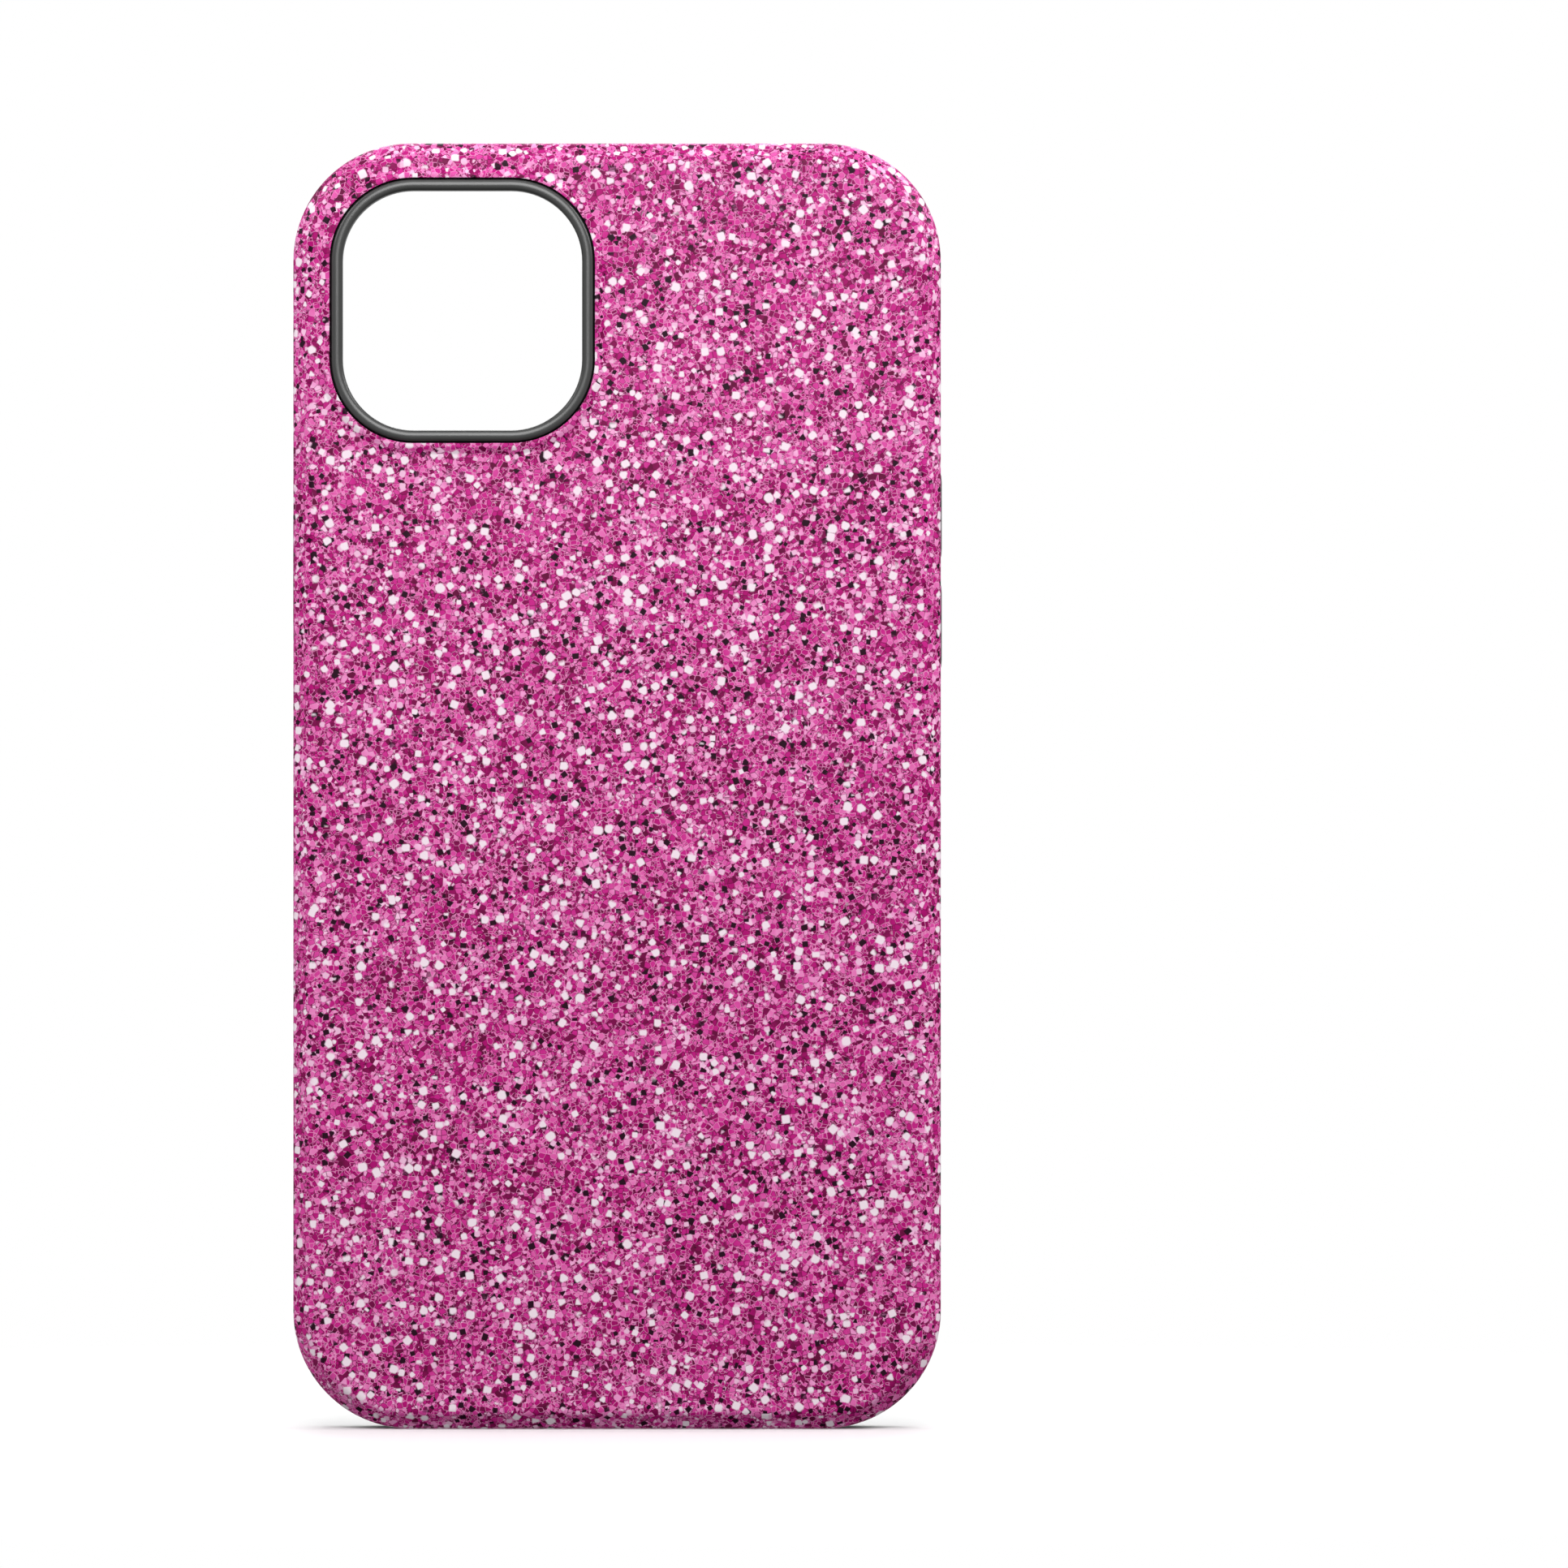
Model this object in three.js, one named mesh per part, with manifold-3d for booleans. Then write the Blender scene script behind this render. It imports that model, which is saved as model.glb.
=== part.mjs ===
// Two-layer phone case: a printed hard shell over a soft liner that grips the phone, with three press
// buttons in the side walls and a ring of magnets sealed between the two layers.
// Millimetres. X runs across the case, +X on the right when its back is faced. +Z runs up to the
// phone's top edge and is 0 at the case's bottom edge. Inside the assembly, Y is the depth from the
// case's flat back (0) to its front rim (DEPTH); the finished group is centred on its depth.
import * as THREE from "three";
import { mergeVertices } from "three/addons/utils/BufferGeometryUtils.js";
import Module from "manifold-3d";

const wasm = await Module();
wasm.setup();

// Overall size
const WIDTH = 76.6;
const HEIGHT = 152.05;
const DEPTH = 11;
const CORNER_RADIUS = 13.9;
const CORNER_STEPS = 10;
const PILL_STEPS = 5;

// Outer section: a 45 degree bevel round the back, side walls that lean in towards the front, and a
// chamfered rim. SOFTEN is how far each edge of the bevel is rounded over.
const BACK_BEVEL = 1.95;
const SOFTEN = 0.4;
const DRAFT_START = 3.4;
const DRAFT_END = 9.75;
const DRAFT = 0.37;
const RIM_CHAMFER = [[10.2, 0.57], [10.85, 1.48], [DEPTH, 1.8]];

// Layers: the shell is outside, the liner fills the rest down to the phone's pocket.
const SHELL_SIDE = 1.2;
const SHELL_BACK = 1.25;
const LAYER_GAP = 0.05;
const POCKET_FLOOR = 2.1;
const POCKET_INSET = 2.5;
const POCKET_FILLET = 1.3;
const LIP_UNDERSIDE = 9.8;
const LIP_OVERHANG = 1;
const LIP_CHAMFER = 0.3;

// Where the shell ends. Over the case's two ends it stops at END_EDGE from the back, over the long sides
// at SIDE_EDGE, and an S-shaped edge joins the two round each corner. The S is two Bezier curves with a
// straight waist between them, as [depth, distance from the case's end].
const END_EDGE = 3.4;
const SIDE_EDGE = 9.65;
const S_CURVES = [
  [[END_EDGE, 1.2], [3.5, 1.9], [5, 2.85], [6.84, 3.17]],
  [[7.6, 3.33], [8.7, 3.6], [9.6, 4.5], [SIDE_EDGE, 6.3]],
];
const S_STEPS = 7;
const SEAM_GAP = 0.06;

// Camera opening: the liner's ring stands up through a raised collar on the shell. Its outlines are
// squares whose corner arcs are all centred CAMERA_CORNER from the middle. RING_CROWN rounds the ring's
// top over, as [depth below its top, distance in from its side].
const CAMERA_X = -18.25;
const CAMERA_Z = 132.2;
const CAMERA_CORNER = 5.8;
const RING_HALF = 15.5;
const RING_INNER_HALF = 14.15;
const RING_PROUD = 0.75;
const RING_CROWN = [[0, 0.5], [0.12, 0.22], [0.45, 0]];
const HOLE_HALF = 15.65;
const COLLAR_PROUD = 0.54;
const COLLAR_TOP_HALF = 16.15;
const COLLAR_BASE_HALF = 16.95;

// Side windows, all at one depth: the ring switch on the +X side, and the button windows.
const SWITCH = { depth: 6.2, z: 120.6, width: 4.9, length: 9.95, radius: 0.65, linerInset: 0.25 };
const BUTTON_DEPTH = 6.4;
const CAP_WIDTH = 2.6;
const CAP_OUTER_X = 38.47;
const CAP_INNER_X = 36.1;
const FLANGE_BORDER = 0.5;
const FLANGE_THICKNESS = 0.35;
const WINDOW_BORDER = 0.75;
const WEB_INNER_X = 36.5;
const STEM_CLEARANCE = 0.1;
const RECESS_CLEARANCE = 0.15;
const VOLUME_UP = { name: "volume_up_button", side: 1, z: 108.05, length: 10.4 };
const VOLUME_DOWN = { name: "volume_down_button", side: 1, z: 94.95, length: 10.4 };
const SIDE_BUTTON = { name: "side_button", side: -1, z: 101.5, length: 15.4 };
const BUTTONS = [VOLUME_UP, VOLUME_DOWN, SIDE_BUTTON];
const WINDOWS = [
  { side: 1, z: 101.5, length: 24.9 },
  { side: -1, z: SIDE_BUTTON.z, length: SIDE_BUTTON.length + 2 * WINDOW_BORDER },
];

// Bottom edge openings in the liner: the charging port and a speaker slot on each side of it.
const PORT_DEPTH = 6.1;
const PORT = { x: 0, width: 13, height: 4.9 };
const SPEAKERS = [-16.5, 16.5].map((x) => ({ x, width: 13.5, height: 3.2 }));

// Magnet array, in a pocket moulded into the inside of the shell's back.
const ARRAY_Z = 76;
const MAGNET_COUNT = 18;
const MAGNET_INNER_R = 23;
const MAGNET_OUTER_R = 27.5;
const MAGNET_GAP = 0.3;
const MAGNET_BACK = 0.55;
const MAGNET_FRONT = 1.1;
const CARRIER_BACK = 1.13;
const CARRIER_FRONT = 1.23;
const CARRIER_MARGIN = 0.08;
const POCKET_BACK = 0.5;
const POCKET_MARGIN = 0.2;
const ARRAY_SEGMENTS = 54;
const BAR = { z: ARRAY_Z - 41, width: 5.6, length: 17 };

// Overshoot of a cutting shape past the surface that it cuts, and how close two points count as one.
const PAST = 2;
const MERGE_DISTANCE = 1e-4;

const hardShell = new THREE.MeshStandardMaterial({ color: 0xb85b8f, roughness: 0.35, metalness: 0 });
const softLiner = new THREE.MeshStandardMaterial({ color: 0x2e2e2f, roughness: 0.7, metalness: 0 });
const buttonRubber = new THREE.MeshStandardMaterial({ color: 0x454545, roughness: 0.6, metalness: 0 });
const platedMagnet = new THREE.MeshStandardMaterial({ color: 0xb9bcc0, roughness: 0.3, metalness: 1 });
const carrierFilm = new THREE.MeshStandardMaterial({ color: 0xe8e6df, roughness: 0.5, metalness: 0 });

// Closed outline of a rectangle with round corners, centred on the origin.
function roundedOutline(halfWidth, halfHeight, radius, steps = CORNER_STEPS) {
  const corners = [[1, 1], [-1, 1], [-1, -1], [1, -1]];
  const points = [];
  corners.forEach(([signX, signY], quarter) => {
    for (let step = 0; step <= steps; step++) {
      const angle = (Math.PI / 2) * (quarter + step / steps);
      const x = signX * (halfWidth - radius) + radius * Math.cos(angle);
      const y = signY * (halfHeight - radius) + radius * Math.sin(angle);
      points.push(new THREE.Vector2(x, y));
    }
  });
  return points.filter((point, i) => point.distanceTo(points.at(i - 1)) > MERGE_DISTANCE);
}

// Closed body through a stack of outlines [{ depth, outline }], each lying in an XZ plane.
function loft(sections, centreX, centreZ) {
  const count = sections[0].outline.length;
  const positions = [];
  const indices = [];
  for (const { depth, outline } of sections) {
    outline.forEach((point) => positions.push(centreX + point.x, depth, centreZ + point.y));
  }
  for (let ring = 0; ring < sections.length - 1; ring++) {
    for (let i = 0; i < count; i++) {
      const a = ring * count + i;
      const b = ring * count + ((i + 1) % count);
      indices.push(a, a + count, b, b, a + count, b + count);
    }
  }
  const last = (sections.length - 1) * count;
  for (let i = 1; i < count - 1; i++) {
    indices.push(0, i, i + 1);
    indices.push(last, last + i + 1, last + i);
  }
  const geometry = new THREE.BufferGeometry();
  geometry.setAttribute("position", new THREE.Float32BufferAttribute(positions, 3));
  geometry.setIndex(indices);
  return geometry;
}

// Body of the case's own outline, from a list of [depth, inset from the outside].
function caseLoft(profile) {
  const sections = profile.map(([depth, inset]) => ({
    depth,
    outline: roundedOutline(WIDTH / 2 - inset, HEIGHT / 2 - inset, CORNER_RADIUS - inset),
  }));
  return solidOf(loft(sections, 0, HEIGHT / 2));
}

// Body of the camera opening's outline, from a list of [depth, half size].
function cameraLoft(profile) {
  const sections = profile.map(([depth, half]) => ({
    depth,
    outline: roundedOutline(half, half, half - CAMERA_CORNER),
  }));
  return solidOf(loft(sections, CAMERA_X, CAMERA_Z));
}

function solidOf(geometry) {
  const bare = geometry.clone();
  bare.deleteAttribute("normal");
  bare.deleteAttribute("uv");
  const merged = mergeVertices(bare, MERGE_DISTANCE);
  const vertProperties = Float32Array.from(merged.attributes.position.array);
  const triVerts = Uint32Array.from(merged.index.array);
  return new wasm.Manifold(new wasm.Mesh({ numProp: 3, vertProperties, triVerts }));
}

// The solids carry positions only, three numbers a vertex.
function geometryOf(solid) {
  const { vertProperties, triVerts } = solid.getMesh();
  const geometry = new THREE.BufferGeometry();
  geometry.setAttribute("position", new THREE.BufferAttribute(vertProperties, 3));
  geometry.setIndex(new THREE.BufferAttribute(triVerts, 1));
  geometry.computeVertexNormals();
  return geometry;
}

// Prism of a shape drawn in (depth, Z), running along X.
function prismAlongX(shape, fromX, toX) {
  const geometry = new THREE.ExtrudeGeometry(shape, { depth: toX - fromX, bevelEnabled: false });
  const axes = new THREE.Matrix4().makeBasis(
    new THREE.Vector3(0, 1, 0),
    new THREE.Vector3(0, 0, 1),
    new THREE.Vector3(1, 0, 0),
  );
  return geometry.applyMatrix4(axes).translate(fromX, 0, 0);
}

// Prism with a round-cornered outline of width (in depth) by length (in Z), running along X.
function sidePrism(depth, z, width, length, radius, fromX, toX) {
  const shape = new THREE.Shape(roundedOutline(width / 2, length / 2, radius, PILL_STEPS));
  return prismAlongX(shape, fromX, toX).translate(0, depth, z);
}

// A pill-shaped prism through one side wall: side is 1 for +X and -1 for -X.
function pillPrism(side, z, width, length, nearX, farX) {
  const [fromX, toX] = side > 0 ? [nearX, farX] : [-farX, -nearX];
  return solidOf(sidePrism(BUTTON_DEPTH, z, width, length, width / 2, fromX, toX));
}

// Everything behind the shell's front edge, grown by gap on the liner's side.
function rearRegion(gap) {
  const past = 2 * PAST;
  const toPoint = ([depth, fromEnd]) => new THREE.Vector2(depth + gap, fromEnd - gap);
  const edge = S_CURVES.flatMap((curve) => {
    return new THREE.CubicBezierCurve(...curve.map(toPoint)).getPoints(S_STEPS);
  });
  const lower = [new THREE.Vector2(-past, -past), new THREE.Vector2(END_EDGE + gap, -past), ...edge];
  const upper = lower.map((point) => new THREE.Vector2(point.x, HEIGHT - point.y)).reverse();
  return solidOf(prismAlongX(new THREE.Shape([...lower, ...upper]), -WIDTH, WIDTH));
}

// The case's whole outside.
function outerBody() {
  const bevelRun = SOFTEN / Math.SQRT2;
  return caseLoft([
    [0, BACK_BEVEL + SOFTEN],
    [bevelRun, BACK_BEVEL - bevelRun],
    [BACK_BEVEL - bevelRun, bevelRun],
    [BACK_BEVEL + SOFTEN, 0],
    [DRAFT_START, 0],
    [DRAFT_END, DRAFT],
    ...RIM_CHAMFER,
  ]);
}

// What lies inside a layer of the given thickness under the side walls and the back.
function coreBody(side, back) {
  const bevelSum = BACK_BEVEL + Math.SQRT2 * side;
  return caseLoft([
    [back, bevelSum - back],
    [bevelSum - side, side],
    [DRAFT_START, side],
    [DRAFT_END, side + DRAFT],
    [DEPTH - LIP_CHAMFER, side + DRAFT],
  ]);
}

// The phone's space and the way into it past the lip.
function pocketBody() {
  const filletRun = POCKET_FILLET * (1 - Math.SQRT1_2);
  const lipInset = POCKET_INSET + LIP_OVERHANG;
  return caseLoft([
    [POCKET_FLOOR, POCKET_INSET + POCKET_FILLET],
    [POCKET_FLOOR + filletRun, POCKET_INSET + filletRun],
    [POCKET_FLOOR + POCKET_FILLET, POCKET_INSET],
    [LIP_UNDERSIDE, POCKET_INSET],
    [LIP_UNDERSIDE, lipInset],
    [DEPTH - LIP_CHAMFER, lipInset],
    [DEPTH, lipInset - LIP_CHAMFER],
    [DEPTH + PAST, lipInset - LIP_CHAMFER],
  ]);
}

// Flat ring round the Y axis, between two radii and two depths.
function flatRing(inner, outer, back, front) {
  const section = [[inner, back], [outer, back], [outer, front], [inner, front], [inner, back]];
  const profile = section.map(([radius, depth]) => new THREE.Vector2(radius, depth));
  return new THREE.LatheGeometry(profile, ARRAY_SEGMENTS);
}

// Pocket in the shell's inside for the magnets and their carrier film.
function magnetPocket() {
  const inner = MAGNET_INNER_R - POCKET_MARGIN;
  const outer = MAGNET_OUTER_R + POCKET_MARGIN;
  const ring = flatRing(inner, outer, POCKET_BACK, PAST).translate(0, 0, ARRAY_Z);
  const bar = flatBar(POCKET_MARGIN, POCKET_BACK, PAST).translate(0, 0, BAR.z);
  return solidOf(ring).add(solidOf(bar));
}

// Slot beside the phone's ring switch, smaller by inset on every side.
function switchSlot(inset, fromX) {
  const { depth, z, width, length, radius } = SWITCH;
  const toX = WIDTH / 2 + PAST;
  return solidOf(sidePrism(depth, z, width - 2 * inset, length - 2 * inset, radius, fromX, toX));
}

function outerShell() {
  let shell = outerBody().intersect(rearRegion(0)).subtract(coreBody(SHELL_SIDE, SHELL_BACK));
  const collar = cameraLoft([
    [-COLLAR_PROUD, COLLAR_TOP_HALF],
    [0, COLLAR_BASE_HALF],
    [SHELL_BACK / 2, COLLAR_BASE_HALF],
  ]);
  const hole = cameraLoft([[-PAST, HOLE_HALF], [POCKET_FLOOR, HOLE_HALF]]);
  shell = shell.add(collar).subtract(hole).subtract(magnetPocket());
  shell = shell.subtract(switchSlot(0, WIDTH / 2 - PAST));
  for (const { side, z, length } of WINDOWS) {
    const width = CAP_WIDTH + 2 * WINDOW_BORDER;
    shell = shell.subtract(pillPrism(side, z, width, length, WIDTH / 2 - PAST, WIDTH / 2 + PAST));
  }
  return shell;
}

// Slot through the bottom wall, running along Z.
function bottomSlot({ x, width, height }) {
  const shape = new THREE.Shape(roundedOutline(width / 2, height / 2, height / 2, PILL_STEPS));
  const depth = POCKET_INSET + 2 * PAST;
  const slot = new THREE.ExtrudeGeometry(shape, { depth, bevelEnabled: false });
  return solidOf(slot.translate(x, PORT_DEPTH, -PAST));
}

function innerLiner() {
  const side = SHELL_SIDE + LAYER_GAP;
  const back = SHELL_BACK + LAYER_GAP;
  let liner = outerBody().subtract(rearRegion(SEAM_GAP));
  liner = liner.add(coreBody(side, back)).subtract(pocketBody());
  const crown = RING_CROWN.map(([below, run]) => [below - RING_PROUD, run]);
  const ring = cameraLoft([
    ...crown.map(([depth, run]) => [depth, RING_HALF - run]),
    [POCKET_FLOOR, RING_HALF],
  ]);
  const opening = cameraLoft([
    [-PAST, RING_INNER_HALF + crown[0][1]],
    ...crown.map(([depth, run]) => [depth, RING_INNER_HALF + run]),
    [POCKET_FLOOR + PAST, RING_INNER_HALF],
  ]);
  liner = liner.add(ring).subtract(opening);
  liner = liner.subtract(switchSlot(SWITCH.linerInset, WIDTH / 2 - 2 * PAST));
  for (const { side: wall, z, length } of BUTTONS) {
    const stem = 2 * STEM_CLEARANCE;
    const recess = 2 * (FLANGE_BORDER + RECESS_CLEARANCE);
    const inside = WIDTH / 2 - 2 * PAST;
    liner = liner
      .subtract(pillPrism(wall, z, CAP_WIDTH + stem, length + stem, inside, WIDTH / 2 + PAST))
      .subtract(pillPrism(wall, z, CAP_WIDTH + recess, length + recess, inside, WEB_INNER_X));
  }
  for (const slot of [PORT, ...SPEAKERS]) {
    liner = liner.subtract(bottomSlot(slot));
  }
  return liner;
}

// Button: a pill-shaped cap whose inner flange is too big for the liner's hole.
function button({ side, z, length }) {
  const border = 2 * FLANGE_BORDER;
  const flangeX = CAP_INNER_X + FLANGE_THICKNESS;
  const cap = pillPrism(side, z, CAP_WIDTH, length, CAP_INNER_X, CAP_OUTER_X);
  return cap.add(pillPrism(side, z, CAP_WIDTH + border, length + border, CAP_INNER_X, flangeX));
}

// One arc of the magnet ring, drawn round local Z and centred on local +X.
function magnetArc() {
  const pitch = (2 * Math.PI) / MAGNET_COUNT;
  const half = pitch / 2 - MAGNET_GAP / 2 / MAGNET_INNER_R;
  const arc = new THREE.Shape();
  arc.absarc(0, 0, MAGNET_OUTER_R, -half, half, false);
  arc.absarc(0, 0, MAGNET_INNER_R, half, -half, true);
  const depth = MAGNET_FRONT - MAGNET_BACK;
  return new THREE.ExtrudeGeometry(arc, { depth, bevelEnabled: false, curveSegments: 3 });
}

function carrierRing() {
  const inner = MAGNET_INNER_R - CARRIER_MARGIN;
  const outer = MAGNET_OUTER_R + CARRIER_MARGIN;
  return flatRing(inner, outer, CARRIER_BACK, CARRIER_FRONT);
}

// Flat bar between two depths, larger than the alignment magnet by margin on every side.
function flatBar(margin, back, front) {
  const bar = new THREE.BoxGeometry(BAR.width + 2 * margin, front - back, BAR.length + 2 * margin);
  return bar.translate(0, (back + front) / 2, 0);
}

function namedMesh(name, geometry, material) {
  const mesh = new THREE.Mesh(geometry, material);
  mesh.name = name;
  return mesh;
}

const assembly = new THREE.Group();
assembly.position.y = (RING_PROUD - DEPTH) / 2;
assembly.add(namedMesh("outer_shell", geometryOf(outerShell()), hardShell));
assembly.add(namedMesh("inner_liner", geometryOf(innerLiner()), softLiner));
for (const spec of BUTTONS) {
  assembly.add(namedMesh(spec.name, geometryOf(button(spec)), buttonRubber));
}

// The arcs share one geometry: local Z of their group points to the case's back.
const magnetRing = new THREE.Group();
magnetRing.position.set(0, MAGNET_FRONT, ARRAY_Z);
magnetRing.rotation.x = Math.PI / 2;
const arcGeometry = magnetArc();
for (let i = 0; i < MAGNET_COUNT; i++) {
  const magnet = namedMesh(`ring_magnet_${String(i + 1).padStart(2, "0")}`, arcGeometry, platedMagnet);
  magnet.rotation.z = (2 * Math.PI * (i + 0.5)) / MAGNET_COUNT;
  magnetRing.add(magnet);
}
assembly.add(magnetRing);

const carrier = namedMesh("magnet_carrier_ring", carrierRing(), carrierFilm);
carrier.position.z = ARRAY_Z;
const barMagnet = namedMesh("alignment_magnet", flatBar(0, MAGNET_BACK, MAGNET_FRONT), platedMagnet);
barMagnet.position.z = BAR.z;
const barFilm = flatBar(CARRIER_MARGIN, CARRIER_BACK, CARRIER_FRONT);
const barCarrier = namedMesh("alignment_carrier", barFilm, carrierFilm);
barCarrier.position.z = BAR.z;
assembly.add(carrier, barMagnet, barCarrier);

const phoneCase = new THREE.Group();
phoneCase.add(assembly);
export default phoneCase;
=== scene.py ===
"""Looks of the two-layer phone case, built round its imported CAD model.

Lengths in the mesh code are millimetres: x across the case, z up from its bottom edge, and depth from
the flat printed back (0) to the front rim. A point on a side wall is given by its place t along the
outline, its depth, and its inset, the distance in from the case's widest outline.
"""

import math

import bmesh
import bpy
from mathutils import Matrix, Vector


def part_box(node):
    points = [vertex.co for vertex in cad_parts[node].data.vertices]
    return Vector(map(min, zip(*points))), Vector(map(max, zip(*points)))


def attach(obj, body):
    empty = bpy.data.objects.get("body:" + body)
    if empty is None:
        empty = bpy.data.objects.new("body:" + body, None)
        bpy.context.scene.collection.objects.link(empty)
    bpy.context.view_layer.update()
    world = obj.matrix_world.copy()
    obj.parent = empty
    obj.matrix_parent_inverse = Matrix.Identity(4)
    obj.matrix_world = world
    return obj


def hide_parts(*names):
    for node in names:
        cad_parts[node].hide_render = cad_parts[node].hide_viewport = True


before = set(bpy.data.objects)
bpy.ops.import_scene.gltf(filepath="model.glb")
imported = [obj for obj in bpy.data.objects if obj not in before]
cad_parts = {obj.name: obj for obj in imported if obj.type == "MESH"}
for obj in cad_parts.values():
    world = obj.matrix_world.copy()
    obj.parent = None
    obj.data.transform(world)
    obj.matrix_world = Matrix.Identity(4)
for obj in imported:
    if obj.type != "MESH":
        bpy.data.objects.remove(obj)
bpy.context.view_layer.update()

MM = 0.001
shell_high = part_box("outer_shell")[1] / MM
liner_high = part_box("inner_liner")[1] / MM

# ---------------------------------------------------------------- driving dimensions, mm

HALF_WIDTH = shell_high.x
HALF_HEIGHT = shell_high.z / 2
DEPTH = 11.0
BACK_Y = liner_high.y - DEPTH
CORNER_R = 13.9

BACK_BEVEL = 1.95
BEVEL_ROUND = 0.5
WALL_START = BACK_BEVEL + BEVEL_ROUND + 0.1
UNDER_WALL_START = WALL_START + 0.1
DRAFT, DRAFT_START, DRAFT_END = 0.37, 3.4, 9.75
LEAN = math.atan(DRAFT / (DRAFT_END - DRAFT_START))

SHELL_SIDE = 1.2
SHELL_BACK = 1.25
SHELL_EDGE_ROUND = 0.4
SHELL_INNER_ROUND = 0.12
PRINT_DEPTH = 0.3
LAYER_GAP = 0.05
SEAM_GAP = 0.06
LINER_EDGE_ROUND = 0.12

END_EDGE = 3.4
SIDE_EDGE = 9.65
S_CURVES = (
    ((END_EDGE, 1.2), (3.5, 1.9), (5.0, 2.85), (6.84, 3.17)),
    ((7.6, 3.33), (8.7, 3.6), (9.6, 4.5), (SIDE_EDGE, 6.3)),
)

POCKET_FLOOR = 2.1
POCKET_INSET = 2.5
LIP_UNDERSIDE = 9.8
LIP_INSET = 3.5

CAMERA_X, CAMERA_Z = -18.25, 132.2
CAMERA_CORNER = 5.8
RING_HALF, RING_INNER_HALF = 15.5, 14.15
RING_PROUD = 0.75
RING_CROWN = 0.5
HOLE_HALF = 15.65
COLLAR_PROUD, COLLAR_TOP_HALF, COLLAR_BASE_HALF = 0.54, 16.15, 16.95
SHELL_CUT_HALF, COLLAR_OUTER_HALF, LINER_CUT_HALF = 16.4, 16.6, 14.7

SWITCH_DEPTH, SWITCH_Z = 6.2, 120.6
SWITCH_WIDTH, SWITCH_LENGTH, SWITCH_R = 4.9, 9.95, 0.65
SWITCH_LINER_INSET = 0.25
WINDOW_RIM_ROUND, LINER_RIM_ROUND, SLOT_RIM_ROUND = 0.28, 0.2, 0.4
BUTTON_DEPTH = 6.4
CAP_HALF_WIDTH = 1.3
CAP_EDGE_ROUND = 0.5
WINDOW_HALF_WIDTH = 2.05
WINDOWS = ((1, 101.5, 24.9), (-1, 101.5, 16.9))
WEB_INNER_X = 36.5
STEM_CLEARANCE = 0.1
RECESS_CLEARANCE = 0.15
FLANGE_BORDER = 0.5
FLANGE_THICKNESS = 0.35

PORT_DEPTH = 6.1
BOTTOM_SLOTS = ((0.0, 13.0, 4.9), (-16.5, 13.5, 3.2), (16.5, 13.5, 3.2))

ARRAY_Z = 76.0
ARRAY_INNER_R, ARRAY_OUTER_R = 22.8, 27.7
ARRAY_POCKET = 0.5
BAR_Z, BAR_WIDTH, BAR_LENGTH = 35.0, 6.0, 17.4
BAR_RELIEF_CORNER = 1.2
RELIEF_BORDER, RELIEF_DEPTH, RELIEF_SLOPE = 0.6, 0.22, 0.12

FILLET_STEPS, PILL_STEPS = 5, 12
SHARP_DEGREES = 32
MERGE = 1e-3 * MM

# ---------------------------------------------------------------- outlines and profiles


def rounded(corners, steps=FILLET_STEPS):
    """Points of a polyline whose corners (x, y, cut) are rounded by arcs that start cut before them."""
    points = []
    for i, (x, y, cut) in enumerate(corners):
        here = Vector((x, y))
        if not cut:
            points.append(here)
            continue
        back = (Vector(corners[i - 1][:2]) - here).normalized()
        ahead = (Vector(corners[i + 1][:2]) - here).normalized()
        half_angle = back.angle(ahead) / 2
        centre = here + (back + ahead).normalized() * (cut / math.cos(half_angle))
        start, end = here + back * cut - centre, here + ahead * cut - centre
        points += [centre + start.slerp(end, k / steps) * start.length for k in range(steps + 1)]
    return points


def bezier(points, share):
    """Point of a cubic Bezier curve."""
    a, b, c, d = (Vector(p) for p in points)
    rest = 1 - share
    return a * rest**3 + b * 3 * rest**2 * share + c * 3 * rest * share**2 + d * share**3


STRAIGHT_SIDE = HALF_HEIGHT - CORNER_R
CORNER_ARC = CORNER_R * math.pi / 2
STRAIGHT_END = HALF_WIDTH - CORNER_R
QUARTER = STRAIGHT_SIDE + CORNER_ARC + STRAIGHT_END


def outline_at(t):
    """Foot and unit normal of the outline at t, counted from the middle of the +X side towards +Z."""
    quarter, t = divmod(t, QUARTER)
    quarter = int(quarter) % 4
    if quarter % 2:
        t = QUARTER - t
    if t < STRAIGHT_SIDE:
        foot, normal = Vector((STRAIGHT_END, t)), Vector((1, 0))
    elif t < STRAIGHT_SIDE + CORNER_ARC:
        angle = (t - STRAIGHT_SIDE) / CORNER_R
        foot, normal = Vector((STRAIGHT_END, STRAIGHT_SIDE)), Vector((math.cos(angle), math.sin(angle)))
    else:
        foot, normal = Vector((QUARTER - t, STRAIGHT_SIDE)), Vector((0, 1))
    mirror = Vector((-1 if quarter in (1, 2) else 1, -1 if quarter in (2, 3) else 1))
    return foot * mirror, normal * mirror


def wall_point(t, depth, inset):
    foot, normal = outline_at(t)
    x, z = foot + normal * (CORNER_R - inset)
    return Vector((x, BACK_Y + depth, HALF_HEIGHT + z))


def draft_inset(depth):
    """How far the leaning side wall has moved in at a depth."""
    return max(0.0, depth - DRAFT_START) * DRAFT / (DRAFT_END - DRAFT_START)


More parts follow.
